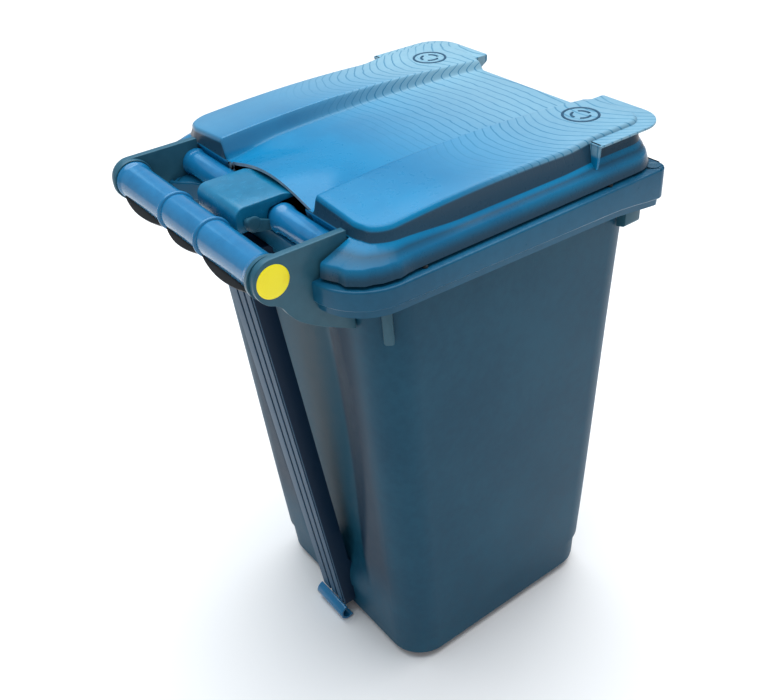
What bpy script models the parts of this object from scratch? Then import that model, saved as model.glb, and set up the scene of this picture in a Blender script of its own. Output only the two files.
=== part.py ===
"""Litter bin: tapered tub with a rear handle and column, and a lid that swings on a hinge pin.

Metres, +Z up. The front of the bin looks along -Y, the handle is at +Y, and z = 0 is the floor.
"""
import math

import bmesh
import bpy
from mathutils import Matrix, Vector

MM = 0.001
GAP = 0.0003

# Tub
FOOT_H = 9 * MM
WALL = 3 * MM
BASE_HALF = 152 * MM
BASE_FRONT = -200 * MM
BASE_REAR = 102 * MM
TOP_HALF = 181 * MM
TOP_FRONT = -215.5 * MM
TOP_REAR = 140 * MM
TUB_TOP = 597 * MM
CORNER_R = 43 * MM
RECESS = 14 * MM
PLINTH_H = 46 * MM
PLINTH_STEP = 2 * MM

# Rim
RIM_HALF = 200 * MM
RIM_FRONT = -232 * MM
RIM_REAR = 156 * MM
EAR_REAR = 180 * MM
RIM_TOP = 601 * MM
RIM_LEDGE = 3.5 * MM
RIM_SKIN = 3 * MM

# Handle and hinge
ARM_OUT = 143 * MM
ARM_IN = 135 * MM
BOSS_IN = 130 * MM
ARM_TOP = 637.5 * MM
ARM_FRONT = 139 * MM
HANDLE_Y = 217 * MM
HANDLE_Z = 616 * MM
HANDLE_R = 18 * MM
BOSS_R = 21.5 * MM
ARM_R = 19 * MM
CAP_R = 16.4 * MM
HINGE_Y = 177.5 * MM
HINGE_Z = 619 * MM
PIN_R = 4 * MM
EAR_R = 8 * MM
BEAD_Y = 145 * MM
BEAD_Z = 612.5 * MM
BEAD_R = 13.5 * MM
COLLAR_X = 36 * MM
COLLAR_R = 20 * MM

# Column and hook
COL_HALF = 25.5 * MM
HOOK_HALF = 29 * MM
COL_BOTTOM = 24.5 * MM
COL_TOP = 581 * MM
COL_FACE_BOTTOM = 119.4 * MM
COL_SLOPE = 0.1235
COL_DEPTH = 22 * MM
COL_FREE = (95 * MM, 545 * MM)
GROOVE_W = 4 * MM
GROOVE_D = 4 * MM

# Lid
LIP_HALF = 194 * MM
LIP_FRONT = -227 * MM
LIP_REAR = 160 * MM
LIP_Z = 604 * MM
DOME_HALF = 174 * MM
DOME_FRONT = -219 * MM
DECK_Z = 636 * MM
LID_SKIN = 3 * MM
RAIL_IN = 81 * MM
RAIL_OUT = 173 * MM
LID_REAR = 129 * MM
WING_Z = 649 * MM
WING_T = 3 * MM
WING_HALF = 189 * MM
WING_FRONT = -239 * MM
WING_REAR = -134 * MM
KNUCKLE_HALF = 38 * MM

for old in list(bpy.data.objects):
    bpy.data.objects.remove(old, do_unlink=True)

parts = bpy.data.collections.new("litter_bin")
cutters = bpy.data.collections.new("cutters")
bpy.context.scene.collection.children.link(parts)
bpy.context.scene.collection.children.link(cutters)


def material(name, colour, rough, metal=0.0):
    mat = bpy.data.materials.new(name)
    mat.use_nodes = True
    bsdf = mat.node_tree.nodes["Principled BSDF"]
    bsdf.inputs["Base Color"].default_value = (*colour, 1.0)
    bsdf.inputs["Roughness"].default_value = rough
    bsdf.inputs["Metallic"].default_value = metal
    return mat


PETROL = (0.032, 0.083, 0.135)
LID_BLUE = (0.02, 0.20, 0.38)
BLACK = (0.012, 0.012, 0.014)
YELLOW = (0.95, 0.85, 0.02)
STEEL = (0.55, 0.56, 0.58)


def finish(name, bm, colour, rough=0.35, metal=0.0, smooth=None, where=None):
    """Turn a bmesh into a named part with its own material."""
    mesh = bpy.data.meshes.new(name)
    bm.to_mesh(mesh)
    bm.free()
    obj = bpy.data.objects.new(name, mesh)
    (where or parts).objects.link(obj)
    mesh.materials.append(material(name, colour, rough, metal))
    if smooth:
        mesh.shade_smooth()
        mesh.set_sharp_from_angle(angle=math.radians(smooth))
    return obj


def outward(bm):
    bmesh.ops.remove_doubles(bm, verts=bm.verts, dist=0.00001)
    bmesh.ops.recalc_face_normals(bm, faces=bm.faces)


def arc(cx, cy, r, start, end, steps):
    """Points of an arc, angles in degrees."""
    out = []
    for i in range(steps + 1):
        a = math.radians(start + (end - start) * i / steps)
        out.append((cx + r * math.cos(a), cy + r * math.sin(a)))
    return out


def loft(bm, loops, close_ring=False, cap_first=False, cap_last=False):
    """Skin between closed loops of equal length."""
    rows = [[bm.verts.new(p) for p in loop] for loop in loops]
    n = len(rows[0])
    pairs = list(zip(rows, rows[1:]))
    if close_ring:
        pairs.append((rows[-1], rows[0]))
    for a, b in pairs:
        for i in range(n):
            j = (i + 1) % n
            bm.faces.new((a[i], a[j], b[j], b[i]))
    if cap_first:
        bm.faces.new(reversed(rows[0]))
    if cap_last:
        bm.faces.new(rows[-1])
    return rows


def slab(name, points, axis, low, high, colour, rough=0.35, metal=0.0):
    """A flat outline extruded from low to high along X, Y or Z."""
    bm = bmesh.new()
    n = len(points)
    verts = []
    for u, v in points:
        if axis == "X":
            verts.append(bm.verts.new((low, u, v)))
        elif axis == "Y":
            verts.append(bm.verts.new((u, low, v)))
        else:
            verts.append(bm.verts.new((u, v, low)))
    face = bm.faces.new(verts)
    made = bmesh.ops.extrude_face_region(bm, geom=[face])
    step = {"X": (high - low, 0, 0), "Y": (0, high - low, 0), "Z": (0, 0, high - low)}[axis]
    moved = [g for g in made["geom"] if isinstance(g, bmesh.types.BMVert)]
    bmesh.ops.translate(bm, verts=moved, vec=step)
    outward(bm)
    return finish(name, bm, colour, rough, metal)


def cylinder(name, r, x0, x1, y, z, colour, rough=0.35, metal=0.0, sides=32, where=None):
    """A solid cylinder along X."""
    bm = bmesh.new()
    turn = Matrix.Translation(((x0 + x1) / 2, y, z)) @ Matrix.Rotation(math.pi / 2, 4, "Y")
    bmesh.ops.create_cone(bm, cap_ends=True, segments=sides, radius1=r, radius2=r,
                          depth=abs(x1 - x0), matrix=turn)
    return finish(name, bm, colour, rough, metal, smooth=40, where=where)


def tube(name, r_out, r_in, x0, x1, y, z, colour, rough=0.35, metal=0.0, sides=32):
    """A hollow tube along X with open ends."""
    bm = bmesh.new()
    loops = []
    for x, r in ((x0, r_in), (x0, r_out), (x1, r_out), (x1, r_in)):
        loops.append([(x, y + u, z + v) for u, v in arc(0, 0, r, 0, 360, sides)[:-1]])
    loft(bm, loops, close_ring=True)
    outward(bm)
    return finish(name, bm, colour, rough, metal, smooth=40)


def cut(target, cutter):
    mod = target.modifiers.new("cut", "BOOLEAN")
    mod.operation = "DIFFERENCE"
    mod.solver = "EXACT"
    mod.object = cutter
    cutter.hide_render = True
    cutter.display_type = "WIRE"


def box_cutter(name, low, high):
    bm = bmesh.new()
    bmesh.ops.create_cube(bm, size=1.0)
    size = Vector(high) - Vector(low)
    bmesh.ops.scale(bm, vec=size, verts=bm.verts)
    bmesh.ops.translate(bm, vec=(Vector(high) + Vector(low)) / 2, verts=bm.verts)
    return finish(name, bm, BLACK, where=cutters)


# ---- Tub: one moulded shell, drafted on all four sides, with a recessed rear wall ----

def mix(a, b, t):
    return a + (b - a) * t


def smooth01(t):
    t = max(0.0, min(1.0, t))
    return t * t * (3 - 2 * t)


def rear_line(z):
    """Outer face of the rear wall, without its recess."""
    return mix(BASE_REAR, TOP_REAR, (z - FOOT_H) / (TUB_TOP - FOOT_H))


def recess_fade(z):
    rise = smooth01((z - 80 * MM) / (70 * MM))
    fall = smooth01((570 * MM - z) / (60 * MM))
    return rise * fall


def recess_edge(z):
    """Half width of the bow-shaped recess at a height."""
    t = (z - 384 * MM) / (300 * MM)
    return max(76 * MM, (112 - 60 * t * t) * MM)


def tub_loop(z, grow):
    """Rounded rectangle of the tub at z, moved in by -grow, with the rear recess."""
    t = (z - FOOT_H) / (TUB_TOP - FOOT_H)
    half = mix(BASE_HALF, TOP_HALF, t) + grow
    front = mix(BASE_FRONT, TOP_FRONT, t) - grow
    rear = rear_line(z) + grow
    if z < FOOT_H + PLINTH_H:
        half -= PLINTH_STEP
        front += PLINTH_STEP
        rear -= PLINTH_STEP
    r = CORNER_R + grow
    pts = []
    pts += arc(half - r, rear - r, r, 0, 90, 6)
    steps = 15
    for i in range(1, steps):
        x = mix(half - r, -(half - r), i / steps)
        pts.append((x, rear))
    pts += arc(-(half - r), rear - r, r, 90, 180, 6)
    pts += arc(-(half - r), front + r, r, 180, 270, 6)
    pts += arc(half - r, front + r, r, 270, 360, 6)
    fade = recess_fade(z)
    edge = recess_edge(z)
    out = []
    for x, y in pts:
        if y > 0 and abs(x) < edge:
            y -= RECESS * fade * smooth01((edge - abs(x)) / (edge - 34 * MM))
        out.append((x, y, z))
    return out


TUB_ROWS = [FOOT_H, FOOT_H + 0.03, FOOT_H + PLINTH_H - 0.002, FOOT_H + PLINTH_H]
TUB_ROWS += [0.085, 0.105, 0.125, 0.15, 0.22, 0.30, 0.38, 0.46, 0.51, 0.53, 0.55, 0.57, TUB_TOP]

bm = bmesh.new()
outer = [tub_loop(z, 0.0) for z in TUB_ROWS]
foot = [(x * 0.985, y * 0.985, FOOT_H) for x, y, _ in tub_loop(FOOT_H, 0.0)]
outer[0] = [(x, y, FOOT_H + 0.003) for x, y, _ in outer[0]]
inner = [tub_loop(z, -WALL) for z in reversed(TUB_ROWS[1:])]
floor_loop = [(x, y, FOOT_H + WALL) for x, y, _ in tub_loop(FOOT_H + WALL, -WALL)]
loft(bm, [foot] + outer + inner + [floor_loop], cap_first=True, cap_last=True)
outward(bm)
finish("tub_shell", bm, PETROL, 0.42, smooth=35)

# ---- Rim: a ledge and a skirt that is deeper at the front, with ears behind for the arms ----

def rim_outline(inset):
    """Rim outline going round from the rear middle, counter-clockwise from above."""
    half = RIM_HALF - inset
    front = RIM_FRONT + inset
    rear = RIM_REAR - inset
    ear = EAR_REAR - inset
    r = 50 * MM - inset
    side = []
    side.append((0.0, rear))
    side.append((60 * MM, rear))
    side.append((98 * MM, rear))
    side += [(110 * MM + inset * 0.3, rear + 2 * MM), (120 * MM + inset * 0.6, rear + 8 * MM)]
    side += [(127 * MM + inset, rear + 18 * MM), (136 * MM, ear)]
    side += arc(half - r, ear - r, r, 90, 0, 8)
    side += [(half, 40 * MM), (half, -60 * MM), (half, -160 * MM)]
    rf = 9 * MM
    side += arc(half - rf, front + rf, rf, 0, -90, 3)
    side += [(120 * MM, front), (60 * MM, front)]
    left = [(-x, y) for x, y in reversed(side[1:])]
    return side + [(0.0, front)] + left


def skirt_low(y):
    """Height of the skirt's lower edge: nearly level, dropping towards the front."""
    if y > 100 * MM:
        return mix(581, 586, min(1.0, (y / MM - 100) / 60)) * MM
    if y > -190 * MM:
        return mix(569, 581, (y / MM + 190) / 290) * MM
    return mix(560, 569, max(0.0, (y / MM + 232) / 42)) * MM


def mouth(z):
    """Inner edge of the rim ledge: the tub's mouth, with as many points as the rim outline."""
    n = len(rim_outline(0.0))
    ring = tub_loop(TUB_TOP, -WALL - 1 * MM)
    centre = Vector((0.0, (TOP_FRONT + TOP_REAR) / 2))
    out = []
    for x, y in rim_outline(0.0):
        d = Vector((x, y)) - centre
        best = None
        m = len(ring)
        for i in range(m):
            a = Vector(ring[i][:2]) - centre
            b = Vector(ring[(i + 1) % m][:2]) - centre
            den = d.x * (b.y - a.y) - d.y * (b.x - a.x)
            if abs(den) < 1e-12:
                continue
            t = (a.x * (b.y - a.y) - a.y * (b.x - a.x)) / den
            u = (a.x * d.y - a.y * d.x) / den
            if t > 0 and -1e-6 <= u <= 1 + 1e-6:
                best = d * t if best is None or (d * t).length < best.length else best
        out.append((best.x + centre.x, best.y + centre.y, z))
    return out


bm = bmesh.new()
rows = []
rows.append([(x, y, skirt_low(y)) for x, y in rim_outline(0.0)])
rows.append([(x, y, RIM_TOP - 2 * MM) for x, y in rim_outline(0.0)])
rows.append([(x, y, RIM_TOP) for x, y in rim_outline(2 * MM)])
rows.append(mouth(RIM_TOP))
rows.append(mouth(RIM_TOP - RIM_LEDGE))
rows.append([(x, y, RIM_TOP - RIM_LEDGE) for x, y in rim_outline(RIM_SKIN)])
rows.append([(x, y, skirt_low(y)) for x, y in rim_outline(RIM_SKIN)])
loft(bm, rows, close_ring=True)
outward(bm)
finish("rim_collar", bm, PETROL, 0.35, smooth=35)
# ---- Arms: flanged plates with a gusset below, a boss behind for the handle ----

def arm_points():
    low_rim = 580 * MM
    pts = [(ARM_FRONT, RIM_TOP + GAP), (ARM_FRONT, ARM_TOP), (HANDLE_Y, ARM_TOP)]
    pts += arc(HANDLE_Y, HANDLE_Z, ARM_R, 65, -75, 12)
    pts += [(211 * MM, 585 * MM), (203 * MM, 573 * MM), (180 * MM, 553 * MM), (161 * MM, 543 * MM)]
    pts += [(rear_line(532 * MM) + GAP + 0.5 * MM, 532 * MM)]
    pts += [(rear_line(low_rim) + GAP + 0.5 * MM, low_rim)]
    pts += [(EAR_REAR + GAP * 2, low_rim), (EAR_REAR + GAP * 2, RIM_TOP + GAP)]
    return pts


for side, tag in ((-1, "near"), (1, "far")):
    low, high = sorted((side * ARM_IN, side * ARM_OUT))
    arm = slab("arm_" + tag, arm_points(), "X", low, high, PETROL)
    hole = cylinder("cut_cap_" + tag, CAP_R + GAP, side * (ARM_OUT - 4 * MM), side * (ARM_OUT + 5 * MM),
                    HANDLE_Y, HANDLE_Z, BLACK, where=cutters)
    cut(arm, hole)
    low, high = sorted((side * BOSS_IN, side * (ARM_IN - GAP)))
    tube("boss_" + tag, BOSS_R, 12 * MM, low, high, HANDLE_Y, HANDLE_Z, PETROL)
    low, high = sorted((side * (ARM_OUT - 4 * MM + GAP), side * (ARM_OUT + 0.2 * MM)))
    cap = cylinder("cap_" + tag, CAP_R, low, high, HANDLE_Y, HANDLE_Z, YELLOW, 0.4)
    bev = cap.modifiers.new("edge", "BEVEL")
    bev.width = 0.0006
    bev.segments = 1
    bev.limit_method = "ANGLE"

# ---- Handle: one tube in three grips, with two collars and black finger grips below ----

tube("handle_tube", HANDLE_R, 14 * MM, -BOSS_IN + GAP, BOSS_IN - GAP, HANDLE_Y, HANDLE_Z, PETROL, 0.3)
for side, tag in ((-1, "near"), (1, "far")):
    tube("collar_" + tag, COLLAR_R, HANDLE_R + GAP, side * COLLAR_X - 2 * MM,
         side * COLLAR_X + 2 * MM, HANDLE_Y, HANDLE_Z, PETROL, 0.3)


def finger_grip(name, x0, x1, sag):
    """Crescent under the handle, deepest at its middle."""
    bm = bmesh.new()
    loops = []
    steps = 8
    for i in range(steps + 1):
        x = mix(x0, x1, i / steps)
        bulge = math.sin(math.pi * i / steps)
        depth = mix(3 * MM, sag, bulge)
        ring = [(x, HANDLE_Y + u, HANDLE_Z + v) for u, v in arc(0, 0, HANDLE_R + GAP, 205, 335, 8)]
        low = []
        for u, v in reversed(arc(0, 0, 1.0, 205, 335, 8)):
            low.append((x, HANDLE_Y + u * (HANDLE_R + 1.5 * MM), HANDLE_Z + v * (HANDLE_R + depth)))
        loops.append(ring + low)
    loft(bm, loops, cap_first=True, cap_last=True)
    outward(bm)
    return finish(name, bm, BLACK, 0.6, smooth=40)


edge = COLLAR_X + 2 * MM + GAP
finger_grip("finger_grip_near", -BOSS_IN + 2 * MM, -edge, 11 * MM)
finger_grip("finger_grip_mid", -(COLLAR_X - 2 * MM - GAP), COLLAR_X - 2 * MM - GAP, 10 * MM)
finger_grip("finger_grip_far", edge, BOSS_IN - 2 * MM, 11 * MM)

# ---- Rear bead: the rolled edge on the ledge between the arms, flat below and hollow ----

def bead_ring(r):
    floor = RIM_TOP + GAP + (BEAD_R - r)
    low = math.degrees(math.asin((floor - BEAD_Z) / r))
    return [(y, z) for y, z in arc(BEAD_Y, BEAD_Z, r, low, 180 - low, 16)]


bm = bmesh.new()
rows = []
for x, r in ((-ARM_IN + GAP, BEAD_R - 3 * MM), (-ARM_IN + GAP, BEAD_R),
             (ARM_IN - GAP, BEAD_R), (ARM_IN - GAP, BEAD_R - 3 * MM)):
    rows.append([(x, y, z) for y, z in bead_ring(r)])
loft(bm, rows, close_ring=True)
outward(bm)
finish("rear_bead", bm, PETROL, 0.28, smooth=40)

# Two ears reach back from the bead and carry the ends of the hinge pin
for side, tag in ((-1, "near"), (1, "far")):
    front = BEAD_Y + BEAD_R + GAP
    pts = [(front, 606 * MM), (front, 615.5 * MM)]
    pts += arc(HINGE_Y, HINGE_Z, EAR_R, 120, -120, 16)
    low, high = sorted((side * 39 * MM, side * 44 * MM))
    ear = slab("hinge_ear_" + tag, pts, "X", low, high, PETROL)
    cut(ear, cylinder("cut_ear_" + tag, PIN_R + 0.00008, side * 30 * MM, side * 60 * MM, HINGE_Y, HINGE_Z,
                      BLACK, where=cutters, sides=24))

cylinder("hinge_pin", PIN_R, -45 * MM, 45 * MM, HINGE_Y, HINGE_Z, STEEL, 0.35, 1.0, sides=24)
for side, tag in ((-1, "near"), (1, "far")):
    low, high = sorted((side * (44 * MM + GAP), side * 46.4 * MM))
    tube("pin_clip_" + tag, 7.5 * MM, PIN_R + 0.00008, low, high, HINGE_Y, HINGE_Z, STEEL, 0.4, 1.0, sides=24)

# ---- Column: a slanted bar with three grooves, joined to the rear wall at its head and foot only ----

def wall_face(z):
    return rear_line(z) - RECESS * recess_fade(z)


bm = bmesh.new()
loops = []
col_rows = [COL_BOTTOM] + [z for z in TUB_ROWS if COL_BOTTOM < z < COL_TOP] + [COL_TOP - 1 * MM]
for z in col_rows:
    back = wall_face(z) + 2 * GAP
    if z < FOOT_H + PLINTH_H + 0.001:
        back += GAP
    face = COL_FACE_BOTTOM + (z - COL_BOTTOM) * COL_SLOPE
    if COL_FREE[0] < z < COL_FREE[1]:
        back = max(back, face - COL_DEPTH)
    g = face - GROOVE_D
    pts = [(-COL_HALF, back), (-COL_HALF, face)]
    for x in (-22 * MM, -7.5 * MM, 8 * MM):
        pts += [(x - GROOVE_W / 2, face), (x - GROOVE_W / 2, g), (x + GROOVE_W / 2, g), (x + GROOVE_W / 2, face)]
    pts += [(COL_HALF, face), (COL_HALF, back)]
    loops.append([(x, y, z) for x, y in pts])
loft(bm, loops, cap_first=True, cap_last=True)
outward(bm)
finish("column", bm, PETROL, 0.38)

# ---- Hook: a rolled lip under the column that opens towards the tub ----

HOOK_Y = 118 * MM
HOOK_Z = 12.7 * MM
HOOK_R = 11.5 * MM
roll = arc(HOOK_Y, HOOK_Z, HOOK_R, 75, -125, 14)
inner_roll = list(reversed(arc(HOOK_Y, HOOK_Z, HOOK_R - 3 * MM, 75, -125, 14)))
hook = slab("base_hook", roll + inner_roll, "X", -HOOK_HALF, HOOK_HALF, PETROL)

# ---- Ribs and brackets below the rim ----

# The rib stands on the rounded rear corner, square to one flat of it, and leans with the wall.
RIB_TURN = 37.5
for side, tag in ((-1, "near"), (1, "far")):
    bm = bmesh.new()
    bmesh.ops.create_cube(bm, size=1.0)
    bmesh.ops.scale(bm, vec=(7 * MM, 10 * MM, 54 * MM), verts=bm.verts)
    bmesh.ops.translate(bm, vec=(CORNER_R + 3.9 * MM, 0, 550 * MM), verts=bm.verts)
    bmesh.ops.rotate(bm, cent=(0, 0, 0), matrix=Matrix.Rotation(math.radians(RIB_TURN), 3, "Z"), verts=bm.verts)
    for v in bm.verts:
        t = (v.co.z - FOOT_H) / (TUB_TOP - FOOT_H)
        v.co.x = side * (v.co.x + mix(BASE_HALF, TOP_HALF, t) - CORNER_R)
        v.co.y += rear_line(v.co.z) - CORNER_R
    outward(bm)
    finish("side_rib_" + tag, bm, PETROL)
    low, high = sorted((side * 180.6 * MM, side * 192 * MM))
    bm = bmesh.new()
    bmesh.ops.create_cube(bm, size=1.0)
    bmesh.ops.scale(bm, vec=(high - low, 23 * MM, 39 * MM), verts=bm.verts)
    bmesh.ops.translate(bm, vec=((low + high) / 2, -189.5 * MM, 560.5 * MM), verts=bm.verts)
    finish("comb_bracket_" + tag, bm, PETROL)

# ---- Feet: four moulded pads under the base ----

for n, (x, y) in enumerate(((-118, -166), (118, -166), (-118, 68), (118, 68))):
    bm = bmesh.new()
    bmesh.ops.create_cone(bm, cap_ends=True, segments=24, radius1=16 * MM, radius2=18 * MM,
                          depth=FOOT_H - GAP,
                          matrix=Matrix.Translation((x * MM, y * MM, (FOOT_H - GAP) / 2)))
    finish("base_foot_%d" % (n + 1), bm, BLACK, 0.7, smooth=40)

# ---- Round plug in the ledge at the front corner ----

bm = bmesh.new()
bmesh.ops.create_cone(bm, cap_ends=True, segments=24, radius1=8 * MM, radius2=7.5 * MM,
                      depth=0.8 * MM, matrix=Matrix.Translation((-187 * MM, -219 * MM, RIM_TOP + GAP + 0.4 * MM)))
finish("rim_plug", bm, PETROL, 0.3, smooth=40)

# ---- Lid: everything below turns about the hinge tube ----

lid_axis = bpy.data.objects.new("lid_axis", None)
lid_axis.location = (0.0, HINGE_Y, HINGE_Z)
parts.objects.link(lid_axis)
lid_parts = []


def on_lid(obj):
    """Parent to the hinge axis without moving the part."""
    obj.parent = lid_axis
    obj.matrix_parent_inverse = Matrix.Translation(lid_axis.location).inverted()
    lid_parts.append(obj)
    return obj


def lid_outline(half, front, rear_mid, rear_side, r_front, r_rear):
    """Half outline mirrored; the flange reaches further back outside the arms."""
    side = [(0.0, rear_mid), (60 * MM, rear_mid), (120 * MM, rear_mid)]
    side += [(ARM_OUT + 2.5 * MM, rear_mid), (ARM_OUT + 2.5 * MM, rear_side - 4 * MM)]
    side += [(ARM_OUT + 5 * MM, rear_side)]
    side += arc(half - r_rear, rear_side - r_rear, r_rear, 78, 0, 6)
    side += [(half, 60 * MM), (half, -20 * MM), (half, -100 * MM)]
    side += arc(half - r_front, front + r_front, r_front, 0, -90, 6)
    side += [(90 * MM, front), (45 * MM, front)]
    left = [(-x, y) for x, y in reversed(side[1:])]
    return side + [(0.0, front)] + left


def deck_z(y):
    t = (y / MM + 30) / 170
    return DECK_Z + (6 * (1 - t * t)) * MM


bm = bmesh.new()
loops = []
a = lid_outline(LIP_HALF, LIP_FRONT, LID_REAR, LIP_REAR, 34 * MM, 36 * MM)
b = lid_outline(LIP_HALF, LIP_FRONT, LID_REAR, LIP_REAR, 34 * MM, 36 * MM)
c = lid_outline(LIP_HALF - 7 * MM, LIP_FRONT + 3 * MM, LID_REAR, LIP_REAR - 4 * MM, 30 * MM, 30 * MM)
d = lid_outline(DOME_HALF + 2 * MM, DOME_FRONT - 1 * MM, LID_REAR, 134 * MM, 26 * MM, 24 * MM)
e = lid_outline(DOME_HALF, DOME_FRONT, LID_REAR - 0.5 * MM, 132.5 * MM, 26 * MM, 24 * MM)
loops.append([(x, y, LIP_Z) for x, y in a])
loops.append([(x, y, LIP_Z + 8 * MM) for x, y in b])
loops.append([(x, y, LIP_Z + 16 * MM) for x, y in c])
loops.append([(x, y, LIP_Z + 24 * MM) for x, y in d])
loops.append([(x, y, deck_z(y) - 1.5 * MM) for x, y in e])
loops.append([(x * 0.97, (y + 40 * MM) * 0.97 - 40 * MM, deck_z(y)) for x, y in e])
for k in (0.7, 0.4, 0.12):
    loops.append([(x * k, (y + 40 * MM) * (0.97 * k + 0.0) - 40 * MM,
                   deck_z((y + 40 * MM) * 0.97 * k - 40 * MM)) for x, y in e])
loft(bm, loops, cap_last=True)
outward(bm)
if sum(f.normal.z for f in bm.faces) < 0:
    bmesh.ops.reverse_faces(bm, faces=bm.faces)
pan = on_lid(finish("lid_pan", bm, LID_BLUE, 0.25, smooth=35))
shell = pan.modifiers.new("skin", "SOLIDIFY")
shell.thickness = LID_SKIN
shell.offset = -1.0
arch = box_cutter("cut_arch", (-KNUCKLE_HALF - 1 * MM, 108 * MM, 590 * MM),
                  (KNUCKLE_HALF + 1 * MM, 150 * MM, 632.9 * MM))
cut(pan, arch)

# Raised rails each side of the sunk middle panel

def rail_top(x, y):
    t = (y / MM - 25) / 250
    inner = 658 - 9.5 * t * t * (1.0 if y < 25 * MM else 2.0)
    return (inner - 7 * (abs(x) / MM - 88) / 84) * MM


def rail(tag, side):
    bm = bmesh.new()
    rows = []
    xs = [RAIL_IN, 88 * MM, 91 * MM, 130 * MM, 166 * MM, 171 * MM, RAIL_OUT]
    for k, y in enumerate((DOME_FRONT + 4 * MM, DOME_FRONT + 8 * MM, -150 * MM, -80 * MM, -10 * MM,
                           60 * MM, 100 * MM, 119 * MM, 125 * MM)):
        row = []
        for i, x in enumerate(xs):
            top = rail_top(x, y)
            if i in (0, len(xs) - 1) or k in (0, 8):
                z = deck_z(y) + 1.8 * MM
            elif i in (1, len(xs) - 2):
                z = top - 1.5 * MM
            else:
                z = top
            row.append(bm.verts.new((side * x, y, z)))
        rows.append(row)
    for p, q in zip(rows, rows[1:]):
        for i in range(len(xs) - 1):
            bm.faces.new((p[i], p[i + 1], q[i + 1], q[i]))
    bmesh.ops.recalc_face_normals(bm, faces=bm.faces)
    if sum(f.normal.z for f in bm.faces) < 0:
        bmesh.ops.reverse_faces(bm, faces=bm.faces)
    obj = on_lid(finish("lid_rail_" + tag, bm, LID_BLUE, 0.25, smooth=35))
    mod = obj.modifiers.new("skin", "SOLIDIFY")
    mod.thickness = 2.0 * MM
    mod.offset = -1.0
    return obj


rail("near", -1)
rail("far", 1)

# Hood: a bulge that rises from the panel to an arch over the knuckle
bm = bmesh.new()
loops = []
for i in range(7):
    t = i / 6
    y = mix(60 * MM, 127 * MM, t)
    half = mix(26 * MM, 68 * MM, math.sqrt(t))
    high = mix(0.8 * MM, 7 * MM, smooth01(t))
    ring = []
    for u, v in arc(0, 0, 1.0, 0, 180, 12):
        ring.append((u * half, y, deck_z(y) + 1.0 * MM + v * high))
    loops.append(ring)
loft(bm, loops, cap_first=True, cap_last=True)
outward(bm)
on_lid(finish("lid_hood", bm, LID_BLUE, 0.25, smooth=40))

# Grip wings at the two front corners, each with a web behind it
for side, tag in ((-1, "near"), (1, "far")):
    pts = [(94 * MM, WING_FRONT)]
    pts += arc(WING_HALF - 35 * MM, WING_FRONT + 35 * MM, 35 * MM, -90, 0, 8)
    pts += [(WING_HALF, WING_REAR), (RAIL_OUT + GAP * 2, WING_REAR)]
    pts += [(RAIL_OUT + GAP * 2, DOME_FRONT + 3.6 * MM), (94 * MM, DOME_FRONT + 3.6 * MM)]
    pts = [(side * x, y) for x, y in pts]
    on_lid(slab("lid_wing_" + tag, pts, "Z", WING_Z - WING_T, WING_Z, LID_BLUE, 0.25))
    web = [(RAIL_OUT + 4.5 * MM, 629.2 * MM), (185 * MM, 625.5 * MM)]
    web += [(188 * MM, WING_Z - WING_T - GAP), (RAIL_OUT + 4.5 * MM, WING_Z - WING_T - GAP)]
    web = [(side * x, z) for x, z in web]
    on_lid(slab("wing_web_" + tag, web, "Y", WING_REAR - 4 * MM, WING_REAR, LID_BLUE, 0.25))
    end = [(WING_FRONT, 640 * MM), (WING_FRONT, WING_Z - WING_T - GAP)]
    end += [(DOME_FRONT - 1.4 * MM, WING_Z - WING_T - GAP), (DOME_FRONT - 1.4 * MM, 629 * MM)]
    low, high = sorted((side * 94 * MM, side * 97 * MM))
    on_lid(slab("wing_end_" + tag, end, "X", low, high, LID_BLUE, 0.25))

# Yoke: the block that reaches back from under the hood, over the bead, to the hinge pin
pts = [(112 * MM, 632.5 * MM), (112 * MM, 628 * MM), (140 * MM, 627.5 * MM), (155 * MM, 625 * MM)]
pts += [(159.5 * MM, 618.5 * MM), (160.5 * MM, 611.5 * MM), (163 * MM, 609 * MM), (188 * MM, 609 * MM)]
pts += arc(188 * MM, 613 * MM, 4 * MM, -60, 0, 3)
pts += arc(182 * MM, 626 * MM, 9.5 * MM, 0, 90, 5)
pts += [(138 * MM, 635.5 * MM), (130 * MM, 632.5 * MM)]
yoke = on_lid(slab("hinge_yoke", pts, "X", -KNUCKLE_HALF, KNUCKLE_HALF, LID_BLUE, 0.3))
cut(yoke, cylinder("cut_yoke_bore", PIN_R + 0.00008, -60 * MM, 60 * MM, HINGE_Y, HINGE_Z, BLACK,
                   where=cutters, sides=24))

# Buffers that carry the lid's lip on the ledge
for n, (x, y) in enumerate(((-191, 90), (191, 90), (-191, -150), (191, -150))):
    bm = bmesh.new()
    bmesh.ops.create_cone(bm, cap_ends=True, segments=16, radius1=2.6 * MM, radius2=2.6 * MM,
                          depth=LIP_Z - RIM_TOP - 2 * GAP,
                          matrix=Matrix.Translation((x * MM, y * MM, (LIP_Z + RIM_TOP) / 2)))
    on_lid(finish("lid_buffer_%d" % (n + 1), bm, BLACK, 0.7, smooth=40))
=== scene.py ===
import math

import bmesh
import bpy
from mathutils import Matrix, Vector


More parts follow.
